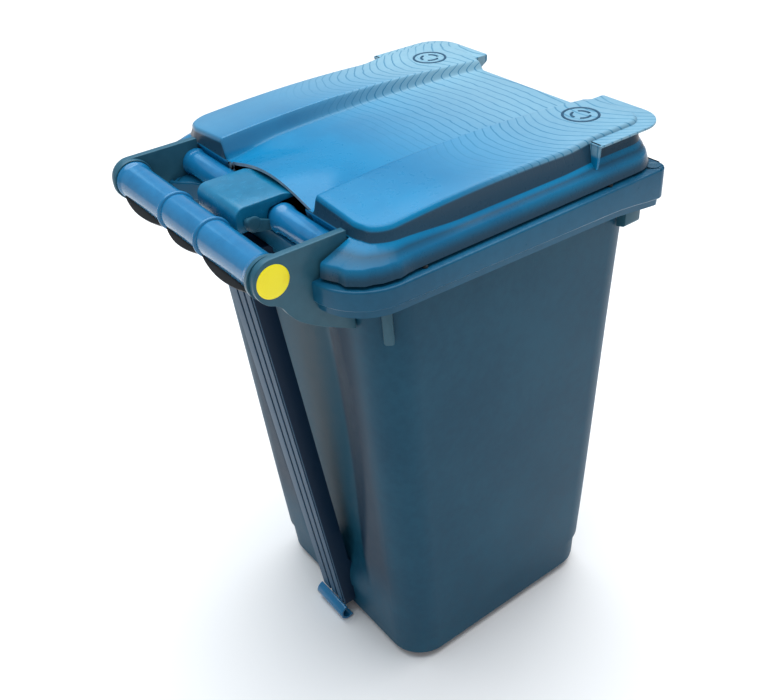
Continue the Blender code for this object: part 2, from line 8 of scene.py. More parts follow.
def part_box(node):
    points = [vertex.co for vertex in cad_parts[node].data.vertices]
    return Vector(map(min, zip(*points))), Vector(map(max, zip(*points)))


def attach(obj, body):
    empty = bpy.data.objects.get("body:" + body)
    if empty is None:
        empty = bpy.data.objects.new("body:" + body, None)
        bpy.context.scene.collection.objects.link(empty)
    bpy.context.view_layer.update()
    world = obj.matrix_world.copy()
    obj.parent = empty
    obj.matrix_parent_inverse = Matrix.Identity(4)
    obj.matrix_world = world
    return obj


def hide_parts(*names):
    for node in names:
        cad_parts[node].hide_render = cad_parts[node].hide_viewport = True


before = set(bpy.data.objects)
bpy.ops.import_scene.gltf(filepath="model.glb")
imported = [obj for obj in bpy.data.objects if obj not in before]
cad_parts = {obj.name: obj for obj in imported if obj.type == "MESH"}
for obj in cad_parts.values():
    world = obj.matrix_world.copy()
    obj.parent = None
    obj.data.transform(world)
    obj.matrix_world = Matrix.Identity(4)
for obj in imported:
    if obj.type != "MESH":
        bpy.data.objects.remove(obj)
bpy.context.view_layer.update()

# ---------------------------------------------------------------------------
# Tub. One deep moulded shell, drafted on all sides, 3 mm wall, fine matte grain.
# The rear wall has a bow-shaped recess each side of the column, and a low plinth
# runs round the foot of the shell.
# ---------------------------------------------------------------------------
MM = 0.001
TUB_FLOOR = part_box("tub_shell")[0].z
TUB_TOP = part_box("tub_shell")[1].z
FOOT = dict(half=152 * MM, front=-200 * MM, rear=102 * MM)
MOUTH = dict(half=181 * MM, front=-215.5 * MM, rear=140 * MM)
CORNER = 43 * MM
RECESS = 17 * MM
PLINTH = 46 * MM


def mix(a, b, t):
    return a + (b - a) * t


def ease(t):
    t = max(0.0, min(1.0, t))
    return t * t * (3 - 2 * t)


def outline(bm, corners, z):
    """A flat face through corner points (x, y, radius), rounded where a radius is given."""
    verts = [bm.verts.new((x, y, z)) for x, y, _ in corners]
    bm.faces.new(verts)
    for v, (_, _, r) in zip(verts, corners):
        if r:
            bmesh.ops.bevel(bm, geom=[v], offset=r, segments=10, profile=0.5,
                            affect="VERTICES", material=-1)
    return [f for f in bm.faces if abs(f.calc_center_median().z - z) < 1e-5][-1]


def both_sides(points):
    """Right-hand corner points, from rear to front, and their mirror images."""
    return list(points) + [(-x, y, r) for x, y, r in reversed(points)]


def rim_edges(bm):
    return [e for e in bm.edges if len(e.link_faces) < 2]


def step(bm, edges, out, rise):
    """Pull a run of edges out sideways and up, as one more line of the section.

    out is a distance or a rule of (x, y, turn), turn being degrees from the side
    towards the rear. rise is a distance, or a rule of (x, y) for the new height.
    """
    made = bmesh.ops.extrude_edge_only(bm, edges=edges)["geom"]
    fresh = [g for g in made if isinstance(g, bmesh.types.BMVert)]
    inside = set(fresh)
    run = [g for g in made if isinstance(g, bmesh.types.BMEdge) and set(g.verts) <= inside]
    aim = {v: [] for v in fresh}
    for e in run:
        a, b = (v.co for v in e.verts)
        side = Vector((b.y - a.y, a.x - b.x, 0))
        if side.length < 1e-9:
            continue
        side.normalize()
        mid = (a + b) / 2
        if side.dot(Vector((mid.x, mid.y + 40 * MM, 0))) < 0:
            side = -side
        for v in e.verts:
            aim[v].append(side)
    moves = {}
    for v, sides in aim.items():
        total = sum(sides, Vector())
        if len(sides) == 2:
            total = total / max(0.3, 1 + sides[0].dot(sides[1]))
        turn = math.degrees(math.atan2(total.y, abs(total.x)))
        far = out(v.co.x, v.co.y, turn) if callable(out) else out
        moves[v] = total * far
    for v, move in moves.items():
        v.co += move
        v.co.z = rise(v.co.x, v.co.y) if callable(rise) else v.co.z + rise
    return run


def piece(name, bm, body, nodes=(), wall=0.0, edge=0.0, rounds=2, sharp=35, finishes=()):
    """Give a mesh its wall and its rounded edges, and fix it to a body."""
    mesh = bpy.data.meshes.new(name)
    bm.to_mesh(mesh)
    bm.free()
    made = bpy.data.objects.new(name, mesh)
    bpy.context.scene.collection.objects.link(made)
    for finish in finishes:
        mesh.materials.append(finish)
    if wall:
        shell = made.modifiers.new("wall", "SOLIDIFY")
        shell.thickness = wall
        shell.offset = -1
        shell.use_even_offset = False
        shell.material_offset_rim = 1 if len(finishes) > 1 else 0
    if edge:
        soft = made.modifiers.new("edge", "BEVEL")
        soft.width = edge
        soft.segments = rounds
        soft.limit_method = "ANGLE"
        soft.angle_limit = math.radians(40)
    if wall or edge:
        graph = bpy.context.evaluated_depsgraph_get()
        solid = bpy.data.meshes.new_from_object(made.evaluated_get(graph))
        made.modifiers.clear()
        made.data = solid
        solid.name = name
    made.data.shade_smooth()
    made.data.set_sharp_from_angle(angle=math.radians(sharp))
    if nodes:
        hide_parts(*nodes)
    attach(made, body)
    return made


class Wire:
    """A number's socket in a finish; arithmetic on it adds Math nodes."""

    def __init__(self, tree, socket):
        self.tree = tree
        self.socket = socket

    def plug(self, target, value):
        if isinstance(value, Wire):
            self.tree.links.new(value.socket, target)
        elif isinstance(value, tuple) and len(value) == 3 and target.type == "RGBA":
            target.default_value = (*value, 1.0)
        else:
            target.default_value = value

    def node(self, kind, settings, sockets, out=0):
        made = self.tree.nodes.new(kind)
        for key, value in settings.items():
            if key == "stops":
                ramp = made.color_ramp.elements
                while len(ramp) < len(value):
                    ramp.new(0.5)
                for stop, (place, shade) in zip(ramp, value):
                    stop.position = place
                    stop.color = (*shade, 1.0) if isinstance(shade, tuple) else (shade, shade, shade, 1.0)
            else:
                setattr(made, key, value)
        for key, value in sockets.items():
            self.plug(made.inputs[key], value)
        return Wire(self.tree, made.outputs[out])

    def sum(self, operation, *values):
        return self.node("ShaderNodeMath", {"operation": operation}, dict(enumerate(values)))

    def __add__(self, other):
        return self.sum("ADD", self, other)

    def __sub__(self, other):
        return self.sum("SUBTRACT", self, other)

    def __mul__(self, other):
        return self.sum("MULTIPLY", self, other)

    def __truediv__(self, other):
        return self.sum("DIVIDE", self, other)

    def __rsub__(self, other):
        return self.sum("SUBTRACT", other, self)

    def __abs__(self):
        return self.sum("ABSOLUTE", self)

    __radd__ = __add__
    __rmul__ = __mul__

    def between(self, low, high):
        """0 below low, 1 above high, smooth between."""
        return self.node("ShaderNodeMapRange", {"interpolation_type": "SMOOTHSTEP"},
                         {0: self, 1: low, 2: high})

    def tint(self, first, second):
        """A colour that goes from first to second as this goes from 0 to 1."""
        return self.node("ShaderNodeMix", {"data_type": "RGBA"}, {0: self, 6: first, 7: second}, 2)

    def noise(self, place, scale, detail=3.0, rough=0.5):
        return self.node("ShaderNodeTexNoise", {}, {"Vector": place, "Scale": scale, "Detail": detail,
                                                    "Roughness": rough})

    def stretch(self, place, sizes):
        return self.node("ShaderNodeVectorMath", {"operation": "MULTIPLY"}, {0: place, 1: sizes})


def finish_start(name):
    """A new finish: its wires, the piece's own coordinates and its shader."""
    made = bpy.data.materials.new(name)
    made.use_nodes = True
    tree = made.node_tree
    shader = tree.nodes["Principled BSDF"]
    spot = tree.nodes.new("ShaderNodeTexCoord")
    place = Wire(tree, spot.outputs["Object"])
    split = tree.nodes.new("ShaderNodeSeparateXYZ")
    tree.links.new(place.socket, split.inputs[0])
    axes = [Wire(tree, split.outputs[i]) for i in range(3)]
    return made, shader, place, axes


def set_shader(shader, wire, **values):
    """Set the shader's sockets, by name with _ for spaces."""
    for key, value in values.items():
        wire.plug(shader.inputs[key.replace("_", " ")], value)


def moulded(name, dark, light, rough, grain=0.00006, coat=0.0, scuffs=0.25, gloss=0.25, recess=False):
    """Injection-moulded polyethylene: soft patches, drawn scuffs and a fine skin.

    recess paints a darker shade on the rear recess's sloping sides and a paler patch of painted light on its
    floor.
    """
    made, shader, place, (x, y, z) = finish_start(name)
    clouds = place.noise(place, 7.0, 4.0, 0.55)
    fine = place.noise(place, 90.0, 3.0, 0.6)
    drawn = place.noise(place.stretch(place, (260.0, 260.0, 9.0)), 1.0, 4.0, 0.65)
    specks = place.noise(place, 420.0, 2.0, 0.6)
    shade = (clouds * 0.6 + fine * 0.4).between(0.3, 0.7)
    colour = shade.tint(dark, light)
    scuff = drawn.between(0.66, 0.78) * clouds.between(0.42, 0.62) * scuffs
    pale = tuple(min(1.0, c * 1.5 + 0.03) for c in light)
    colour = scuff.tint(colour, pale)
    if recess:
        behind = y.between(0.06, 0.09) * z.between(0.09, 0.17)
        # Painted shade: the recess's sloping sides are tinted near black-blue, as if in shadow.
        painted_slope_shade = abs(x).between(0.052, 0.062) * (1 - abs(x).between(0.112, 0.14)) * behind
        colour = (painted_slope_shade * 0.75).tint(colour, (0.002, 0.014, 0.036))
        # Painted light: the recess floor is tinted paler, as a patch of light falling on it.
        floor = (1 - abs(x).between(0.050, 0.060)) * behind * (1 - z.between(0.5, 0.6))
        colour = (floor * (0.6 + fine * 0.4)).tint(colour, (0.012, 0.085, 0.135))
    skin = place.noise(place, 1400.0, 2.0, 0.5)
    bump = place.node("ShaderNodeBump", {}, {"Strength": 1.0, "Distance": grain,
                                             "Height": skin + specks * 0.7 + scuff * 2.0})
    set_shader(shader, place, Base_Color=colour, Roughness=rough + (fine - 0.5) * 0.12 + scuff * 0.2,
               Normal=bump)
    shader.inputs["Coat Weight"].default_value = coat
    shader.inputs["Coat Roughness"].default_value = 0.12
    shader.inputs["Specular IOR Level"].default_value = gloss
    return made


def rear_line(z):
    return mix(FOOT["rear"], MOUTH["rear"], (z - TUB_FLOOR) / (TUB_TOP - TUB_FLOOR))


def side_line(z):
    return mix(FOOT["half"], MOUTH["half"], (z - TUB_FLOOR) / (TUB_TOP - TUB_FLOOR))


def recess_edge(z):
    """Half width of the bow-shaped recess at a height."""
    t = (z - 384 * MM) / (300 * MM)
    return max(76 * MM, (112 - 60 * t * t) * MM)


def recess_depth(x, z):
    along = ease((z - 70 * MM) / (55 * MM)) * ease((585 * MM - z) / (60 * MM))
    edge = recess_edge(z)
    floor = max(31 * MM, edge - 60 * MM)
    across = (edge - abs(x)) / (edge - floor)
    across = max(0.0, min(1.0, across))
    across = 0.55 * math.sin(across * math.pi / 2) + 0.45 * ease(across)
    return RECESS * along * across


bm = bmesh.new()
outline(bm, both_sides([(FOOT["half"], FOOT["rear"], CORNER), (FOOT["half"], FOOT["front"], CORNER)]),
        TUB_FLOOR)
run = step(bm, rim_edges(bm), 0.0, TUB_TOP - TUB_FLOOR)
for v in {v for e in run for v in e.verts}:
    v.co.x += math.copysign(MOUTH["half"] - FOOT["half"], v.co.x)
    v.co.y += MOUTH["rear"] - FOOT["rear"] if v.co.y > -49 * MM else MOUTH["front"] - FOOT["front"]
for n in range(-22, 23):
    back = [f for f in bm.faces if f.calc_center_median().y > 60 * MM and abs(f.normal.y) > 0.9]
    geom = back + list({e for f in back for e in f.edges}) + list({v for f in back for v in f.verts})
    bmesh.ops.bisect_plane(bm, geom=geom, plane_co=(n * 6 * MM, 0, 0), plane_no=(1, 0, 0), dist=1e-6)
levels = [TUB_FLOOR + 4 * MM, TUB_FLOOR + PLINTH - 3 * MM, TUB_FLOOR + PLINTH]
levels += [70 * MM + n * 13 * MM for n in range(41)]
for z in levels:
    bmesh.ops.bisect_plane(bm, geom=bm.faces[:] + bm.edges[:] + bm.verts[:], plane_co=(0, 0, z),
                           plane_no=(0, 0, 1), dist=1e-6)
bmesh.ops.remove_doubles(bm, verts=bm.verts, dist=1e-6)
for v in bm.verts:
    x, y, z = v.co
    if y > 60 * MM and abs(x) < 125 * MM and z > TUB_FLOOR + 1 * MM:
        v.co.y -= recess_depth(x, z)
    if TUB_FLOOR + PLINTH - 1 * MM < z:
        grow = 2 * MM * ease((z - TUB_FLOOR - PLINTH + 1 * MM) / (1 * MM)) * (1 - ease((z - 0.1) / 0.4))
        centre = Vector((0, -49 * MM, 0))
        away = Vector((x, y, 0)) - centre
        v.co.x += math.copysign(grow, x)
        v.co.y += math.copysign(grow, away.y)
    if z < TUB_FLOOR + 1 * MM:
        v.co.x *= 0.985
        v.co.y = (y + 49 * MM) * 0.985 - 49 * MM
bmesh.ops.recalc_face_normals(bm, faces=bm.faces)
if sum(f.normal.z * f.calc_area() for f in bm.faces) > 0:
    bmesh.ops.reverse_faces(bm, faces=bm.faces)
# The tub's colour carries painted shade on the rear recess's slopes and painted light on its floor.
body_finish = moulded("body plastic", (0.003, 0.048, 0.090), (0.008, 0.070, 0.120), 0.42, gloss=0.15,
                      recess=True)
piece("tub", bm, "tub", ["tub_shell"], wall=3 * MM, sharp=28, finishes=[body_finish])

# ---------------------------------------------------------------------------
# Rim. A ledge round the mouth with a turned-down skirt, deeper at the front, and
# an ear at each rear corner that carries an arm. Same plastic, smoother mould.
# ---------------------------------------------------------------------------
RIM_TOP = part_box("rim_collar")[1].z
rim_finish = moulded("rim plastic", (0.004, 0.072, 0.138), (0.008, 0.098, 0.180), 0.30, 0.00003, 0.1,
                     0.25, 0.18)


def skirt_crease(x, y):
    """Height where the skirt turns in: it falls gently, then faster at the front."""
    gentle = mix(576, 581.8, max(-0.6, min(1.0, (y / MM + 128) / 240)))
    return (gentle - 6 * ease((-150 - y / MM) / 80)) * MM


bm = bmesh.new()
outline(bm, both_sides([(108 * MM, 156 * MM, 14 * MM), (132 * MM, 180 * MM, 8 * MM),
                        (200 * MM, 180 * MM, 58 * MM), (200 * MM, -232 * MM, 14 * MM)]), RIM_TOP)
for y in range(-200, 120, 20):
    bmesh.ops.bisect_plane(bm, geom=bm.faces[:] + bm.edges[:] + bm.verts[:], plane_co=(0, y * MM, 0),
                           plane_no=(0, 1, 0), dist=1e-6)
bmesh.ops.dissolve_limit(bm, angle_limit=0.01, verts=[],
                         edges=[e for e in bm.edges if len(e.link_faces) == 2])
bmesh.ops.delete(bm, geom=bm.faces[:], context="FACES_ONLY")
outer = bm.edges[:]
skirt = step(bm, outer, 0.0, skirt_crease)
skirt = step(bm, skirt, -0.8 * MM, -1.2 * MM)
skirt = step(bm, skirt, -3.2 * MM, -0.6 * MM)
skirt = step(bm, skirt, -0.6 * MM, -8.5 * MM)
before = set(bm.edges)
outline(bm, both_sides([(MOUTH["half"] - 4 * MM, MOUTH["rear"] - 4 * MM, 39 * MM),
                        (MOUTH["half"] - 4 * MM, MOUTH["front"] + 4 * MM, 39 * MM)]), RIM_TOP)
inner = [e for e in bm.edges if e not in before]
bmesh.ops.delete(bm, geom=[f for f in bm.faces if len(f.verts) > 8], context="FACES_ONLY")
bmesh.ops.bridge_loops(bm, edges=outer + inner)
bmesh.ops.recalc_face_normals(bm, faces=bm.faces)
if sum(f.normal.z * f.calc_area() for f in bm.faces) < 0:
    bmesh.ops.reverse_faces(bm, faces=bm.faces)
top_line = [e for e in bm.edges if len(e.link_faces) == 2 and e.calc_face_angle() > 1.2
            and min(v.co.z for v in e.verts) > RIM_TOP - 1e-6]
bmesh.ops.bevel(bm, geom=top_line, offset=2.2 * MM, segments=3, profile=0.5, affect="EDGES", material=-1)
piece("rim", bm, "tub", ["rim_collar"], wall=2.8 * MM, sharp=32, finishes=[rim_finish])

# Round plug pressed in the ledge at the front corner.
plug_finish = moulded("plug plastic", (0.02, 0.09, 0.15), (0.03, 0.12, 0.19), 0.25, 0.00002)
low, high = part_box("rim_plug")
bm = bmesh.new()
middle = (low + high) / 2
bmesh.ops.create_cone(bm, cap_ends=True, segments=40, radius1=8 * MM, radius2=7.6 * MM,
                      depth=high.z - low.z, matrix=Matrix.Translation(middle))
lid_face = max(bm.faces, key=lambda f: f.calc_center_median().z)
bmesh.ops.inset_region(bm, faces=[lid_face], thickness=1.6 * MM, depth=-0.5 * MM)
piece("rim_plug_cap", bm, "tub", ["rim_plug"], edge=0.25 * MM, finishes=[plug_finish])

# ---------------------------------------------------------------------------
# Arms. Two upright plates with a gusset below, moulded on the rim ears. They hold
# the ends of the handle in round bosses.
# ---------------------------------------------------------------------------
HANDLE_Y = 217 * MM
HANDLE_Z = 616 * MM
ARM_IN = 135 * MM
ARM_OUT = 143 * MM
arm_finish = moulded("arm plastic", (0.018, 0.080, 0.118), (0.028, 0.105, 0.15), 0.34, 0.00004, 0.05)


def plate(points, axis, low, high):
    """A flat outline of (a, b, radius) points pulled from low to high along X or Y."""
    bm = bmesh.new()
    face = outline(bm, points, 0.0)
    made = bmesh.ops.extrude_face_region(bm, geom=[face])["geom"]
    moved = [g for g in made if isinstance(g, bmesh.types.BMVert)]
    bmesh.ops.translate(bm, verts=moved, vec=(0, 0, high - low))
    bmesh.ops.translate(bm, verts=bm.verts, vec=(0, 0, low))
    for v in bm.verts:
        a, b, c = v.co
        v.co = (c, a, b) if axis == "X" else (a, c, b)
    bmesh.ops.recalc_face_normals(bm, faces=bm.faces)
    return bm


for side, tag in ((-1, "near"), (1, "far")):
    low, high = sorted((side * ARM_IN, side * ARM_OUT))
    bm = plate([(139 * MM, 602 * MM, 0), (139 * MM, 637.5 * MM, 1.5 * MM), (236 * MM, 637.5 * MM, 20 * MM),
                (236 * MM, 597.4 * MM, 17.5 * MM), (213 * MM, 590 * MM, 8 * MM), (203 * MM, 572 * MM, 9 * MM),
                (186 * MM, 557 * MM, 18 * MM),
                (137.2 * MM, 532 * MM, 0), (139.6 * MM, 580 * MM, 0)], "X", low, high)
    piece("arm_plate_" + tag, bm, "tub", ["arm_" + tag], edge=1.1 * MM, rounds=3,
          finishes=[arm_finish])

# ---------------------------------------------------------------------------
# Handle. One glossy tube in three grips, parted by two thin collars, running into
# a boss at each arm. Black finger pads hang below each grip, yellow caps close the ends.
# ---------------------------------------------------------------------------
handle_finish = moulded("handle plastic", (0.004, 0.12, 0.26), (0.010, 0.165, 0.34), 0.2, 0.00002, 0.4, 0.15)


def turned(profile, y, z, start=0.0, sweep=360.0, steps=64, closed=False):
    """A profile of (x, radius) points spun about a line along X."""
    bm = bmesh.new()
    a = math.radians(start)
    verts = [bm.verts.new((x, y + r * math.cos(a), z + r * math.sin(a))) for x, r in profile]
    if closed:
        verts.append(verts[0])
    edges = [bm.edges.new(pair) for pair in zip(verts, verts[1:])]
    full = sweep >= 360
    ring = bmesh.ops.spin(bm, geom=list(set(verts)) + edges, cent=(0, y, z), axis=(1, 0, 0),
                          angle=math.radians(sweep), steps=steps, use_merge=full)
    if closed and not full:
        for group in (edges, [g for g in ring["geom_last"] if isinstance(g, bmesh.types.BMEdge)]):
            bmesh.ops.contextual_create(bm, geom=group)
    bmesh.ops.remove_doubles(bm, verts=bm.verts, dist=1e-6)
    bmesh.ops.recalc_face_normals(bm, faces=bm.faces)
    return bm


half = 129.7 * MM
section = [(-half, 15 * MM), (-half, 19.6 * MM), (-half + 3 * MM, 19.6 * MM), (-half + 4.5 * MM, 18.6 * MM),
           (-half + 8 * MM, 18 * MM), (-38 * MM, 18 * MM), (38 * MM, 18 * MM), (half - 8 * MM, 18 * MM),
           (half - 4.5 * MM, 18.6 * MM), (half - 3 * MM, 19.6 * MM), (half, 19.6 * MM), (half, 15 * MM)]
piece("handle", turned(section, HANDLE_Y, HANDLE_Z, closed=True), "tub", ["handle_tube"],
      finishes=[handle_finish])
for side, tag in ((-1, "near"), (1, "far")):
    x = side * 36 * MM
    half_section = [(2.6, 18.05), (2.2, 19.4), (1.2, 20.2)]
    section = [(x - a * MM, r * MM) for a, r in half_section] + [(x, 20.4 * MM)]
    section += [(x + a * MM, r * MM) for a, r in reversed(half_section)]
    piece("handle_ring_" + tag, turned(section, HANDLE_Y, HANDLE_Z, closed=True), "tub",
          ["collar_" + tag], finishes=[handle_finish])
    x = side * 130 * MM
    section = [(side * 130 * MM, 12 * MM), (side * 130 * MM, 20.9 * MM), (side * 131 * MM, 21.4 * MM),
               (side * 134.9 * MM, 21.4 * MM), (side * 134.9 * MM, 12 * MM)]
    piece("arm_boss_" + tag, turned(section, HANDLE_Y, HANDLE_Z, closed=True), "tub",
          ["boss_" + tag], finishes=[arm_finish])

grip_finish, shader, place, axes = finish_start("black grip rubber")
dust = place.noise(place, 55.0, 4.0, 0.6)
bump = place.node("ShaderNodeBump", {}, {"Distance": 0.00012, "Height": place.noise(place, 900.0, 2.0)})
black = dust.between(0.35, 0.75).tint((0.002, 0.002, 0.0025), (0.008, 0.008, 0.009))
set_shader(shader, place, Base_Color=black, Roughness=0.5 + dust * 0.2, Normal=bump)
GRIPS = (("near", -127.5, -38.8, 7.5), ("mid", -33.2, 33.2, 6.5), ("far", 38.8, 127.5, 7.5))
for tag, start, end, depth in GRIPS:
    count = 16
    lower = [(mix(start, end, n / count) * MM, (18.6 + depth * math.sin(math.pi * n / count) ** 0.8) * MM)
             for n in range(count + 1)]
    section = [(start * MM, 18.1 * MM)] + lower + [(end * MM, 18.1 * MM)]
    piece("finger_pad_" + tag, turned(section, HANDLE_Y, HANDLE_Z, 205, 118, 20, True), "tub",
          ["finger_grip_" + tag], edge=0.5 * MM, finishes=[grip_finish])

cap_finish, shader, place, axes = finish_start("yellow cap plastic")
stain = place.noise(place, 60.0, 3.0, 0.6)
bump = place.node("ShaderNodeBump", {}, {"Distance": 0.00003, "Height": place.noise(place, 1200.0, 2.0)})
set_shader(shader, place, Base_Color=stain.between(0.5, 0.9).tint((1.0, 0.83, 0.0), (0.95, 0.74, 0.0)),
           Roughness=0.32 + stain * 0.15, Normal=bump)
for side, tag in ((-1, "near"), (1, "far")):
    section = [(side * 139.5 * MM, 0.0), (side * 139.5 * MM, 16.3 * MM), (side * 143.1 * MM, 16.3 * MM),
               (side * 143.6 * MM, 15.6 * MM), (side * 143.75 * MM, 14.6 * MM), (side * 143.8 * MM, 0.0)]
    piece("end_cap_" + tag, turned(section, HANDLE_Y, HANDLE_Z), "tub", ["cap_" + tag],
          finishes=[cap_finish])

# ---------------------------------------------------------------------------
# Rear bead. The rolled rear edge of the rim between the arms, round above and flat
# below, swelling to a ring at each end and each side of the hinge.
# ---------------------------------------------------------------------------
section = [(-134.6, 15.2), (-131.5, 15.2), (-129, 14.2), (-126, 13.5), (-54, 13.5), (-49, 14.2), (-45, 15.2),
           (-41, 15.3), (-40, 13.2), (40, 13.2), (41, 15.3), (45, 15.2), (49, 14.2), (54, 13.5), (126, 13.5),
           (129, 14.2), (131.5, 15.2), (134.6, 15.2)]
section = [(x * MM, r * MM) for x, r in section]
bm = turned(section, 145 * MM, 612.5 * MM, -60, 300, 60)
for v in bm.verts:
    v.co.z = max(v.co.z, RIM_TOP + 0.1 * MM)
piece("rear_roll", bm, "tub", ["rear_bead"], finishes=[handle_finish])

# Ears that reach back from the bead and carry the steel pin, closed by domed caps.
for side, tag in ((-1, "near"), (1, "far")):
    low, high = sorted((side * 39 * MM, side * 44 * MM))
    bm = plate([(157 * MM, 605 * MM, 0), (157 * MM, 615.5 * MM, 0), (185.4 * MM, 627 * MM, 7.8 * MM),
                (185.4 * MM, 611 * MM, 7.8 * MM)], "X", low, high)
    piece("hinge_lug_" + tag, bm, "tub", ["hinge_ear_" + tag], edge=0.8 * MM,
          finishes=[arm_finish])

steel_finish, shader, place, axes = finish_start("zinc-plated steel")
film = place.noise(place.stretch(place, (40.0, 500.0, 500.0)), 1.0, 3.0)
set_shader(shader, place, Base_Color=film.tint((0.30, 0.32, 0.34), (0.52, 0.54, 0.56)),
           Roughness=0.25 + film * 0.25, Metallic=1.0)
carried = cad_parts["hinge_pin"]
carried.data.materials.clear()
carried.data.materials.append(steel_finish)
for side, tag in ((-1, "near"), (1, "far")):
    section = [(side * 44.3 * MM, 0.0), (side * 44.3 * MM, 7.5 * MM), (side * 45.2 * MM, 7.5 * MM),
               (side * 45.9 * MM, 6.8 * MM), (side * 46.3 * MM, 5 * MM), (side * 46.4 * MM, 0.0)]
    piece("pin_cap_" + tag, turned(section, 177.5 * MM, 619 * MM), "tub", ["pin_clip_" + tag],
          finishes=[arm_finish])

# ---------------------------------------------------------------------------
# Column. A straight bar behind the rear wall, leaning out to the handle and joined to
# the wall at its head and foot, with three grooves and a rolled hook under it.
# ---------------------------------------------------------------------------
COLUMN_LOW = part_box("column")[0].z
COLUMN_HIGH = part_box("column")[1].z
column_finish, shader, place, (x, y, z) = finish_start("column plastic")
clouds = place.noise(place, 9.0, 4.0, 0.55)
# Painted shade: the grooves and the column's side faces are coloured near black-blue, the proud rear strips a
# lighter blue.
unshaded_proud_face = (y - z * 0.1235).between(0.1152, 0.1160)
shade = unshaded_proud_face.tint((0.002, 0.016, 0.040), (0.020, 0.068, 0.125))
drawn = place.noise(place.stretch(place, (300.0, 300.0, 9.0)), 1.0, 4.0, 0.65)
shade = (drawn.between(0.6, 0.8) * 0.3 * unshaded_proud_face).tint(shade, (0.08, 0.14, 0.20))
bump = place.node("ShaderNodeBump", {}, {"Distance": 0.00004, "Height": place.noise(place, 1200.0, 2.0)})
set_shader(shader, place, Base_Color=shade, Roughness=0.4 + clouds * 0.1, Normal=bump)
shader.inputs["Specular IOR Level"].default_value = 0.2
bm = bmesh.new()
depth = 4.2 * MM
points = [(-25.5, 0)]
for x in (-22, -7.5, 8):
    points += [(x - 2.2, 0), (x - 1.2, -depth / MM), (x + 1.2, -depth / MM), (x + 2.2, 0)]
points += [(25.5, 0), (25.5, -30), (-25.5, -30)]
verts = [bm.verts.new((x * MM, y * MM, COLUMN_LOW)) for x, y in points]
face = bm.faces.new(verts)
made = bmesh.ops.extrude_face_region(bm, geom=[face])["geom"]
bmesh.ops.translate(bm, verts=[g for g in made if isinstance(g, bmesh.types.BMVert)],
                    vec=(0, 0, COLUMN_HIGH - COLUMN_LOW))
for z in [60, 90, 94, 98, 102] + list(range(120, 540, 20)) + [536, 540, 544, 548, 552]:
    bmesh.ops.bisect_plane(bm, geom=bm.faces[:] + bm.edges[:] + bm.verts[:], plane_co=(0, 0, z * MM),
                           plane_no=(0, 0, 1), dist=1e-6)
for v in bm.verts:
    face_y = 119.4 * MM + (v.co.z - COLUMN_LOW) * 0.1235
    if v.co.y < -20 * MM:
        wall = rear_line(v.co.z) - recess_depth(25 * MM, v.co.z) - 1 * MM
        free = ease((v.co.z / MM - 90) / 12) * ease((550 - v.co.z / MM) / 12)
        v.co.y = max(wall, mix(wall, face_y - 22 * MM, free))
    else:
        v.co.y += face_y
bmesh.ops.recalc_face_normals(bm, faces=bm.faces)
arris = [e for e in bm.edges if abs(abs(e.verts[0].co.x) - 25.5 * MM) < 1e-6
         and abs(abs(e.verts[1].co.x) - 25.5 * MM) < 1e-6 and e.calc_face_angle() > 1.2
         and min(v.co.y for v in e.verts) > rear_line(e.verts[0].co.z) + 1 * MM]
bmesh.ops.bevel(bm, geom=arris, offset=0.7 * MM, segments=3, profile=0.5, affect="EDGES", material=-1)
piece("rear_column", bm, "tub", ["column"], sharp=30, finishes=[column_finish])

low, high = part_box("base_hook")
bm = bmesh.new()
ROLL = (118 * MM, 12.75 * MM)
steps = 22
chain = []
for n in range(steps + 1):
    a = math.radians(mix(80, -128, n / steps))
    chain.append(bm.verts.new((low.x, ROLL[0] + 11.4 * MM * math.cos(a), ROLL[1] + 11.4 * MM * math.sin(a))))
edges = [bm.edges.new(pair) for pair in zip(chain, chain[1:])]
made = bmesh.ops.extrude_edge_only(bm, edges=edges)["geom"]
moved = [g for g in made if isinstance(g, bmesh.types.BMVert)]
bmesh.ops.translate(bm, verts=moved, vec=(high.x - low.x, 0, 0))
bmesh.ops.recalc_face_normals(bm, faces=bm.faces)
if sum(f.normal.dot(f.calc_center_median() - Vector((0, *ROLL))) for f in bm.faces) < 0:
    bmesh.ops.reverse_faces(bm, faces=bm.faces)
piece("hanging_hook", bm, "tub", ["base_hook"], wall=3 * MM, edge=0.5 * MM, sharp=40,
      finishes=[handle_finish])

# ---------------------------------------------------------------------------
# Stiffening ribs and corner brackets moulded on the sides just below the rim.
# ---------------------------------------------------------------------------
for side, tag in ((-1, "near"), (1, "far")):
    rib = [(-5, 578, 0), (5, 578, 0), (5, 522, 3), (-5, 522, 3)]
    bm = plate([(a * MM, b * MM, r * MM) for a, b, r in rib], "X", CORNER - 1 * MM, CORNER + 7.4 * MM)
    bmesh.ops.rotate(bm, verts=bm.verts, cent=(0, 0, 0), matrix=Matrix.Rotation(math.radians(37.5), 3, "Z"))
    for v in bm.verts:
        v.co.x = side * (v.co.x + side_line(v.co.z) - CORNER)
        v.co.y += rear_line(v.co.z) - CORNER
    bmesh.ops.recalc_face_normals(bm, faces=bm.faces)
    piece("side_gusset_" + tag, bm, "tub", ["side_rib_" + tag], edge=0.8 * MM,
          finishes=[arm_finish])
    low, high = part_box("comb_bracket_" + tag)
    bracket = [(179.5, 580, 0), (191.5, 580, 0), (191.5, 544, 4), (178.5, 541, 0)]
    bm = plate([(side * a * MM, b * MM, r * MM) for a, b, r in bracket], "Y", low.y, high.y)
    piece("corner_bracket_" + tag, bm, "tub", ["comb_bracket_" + tag], edge=0.9 * MM,
          finishes=[arm_finish])

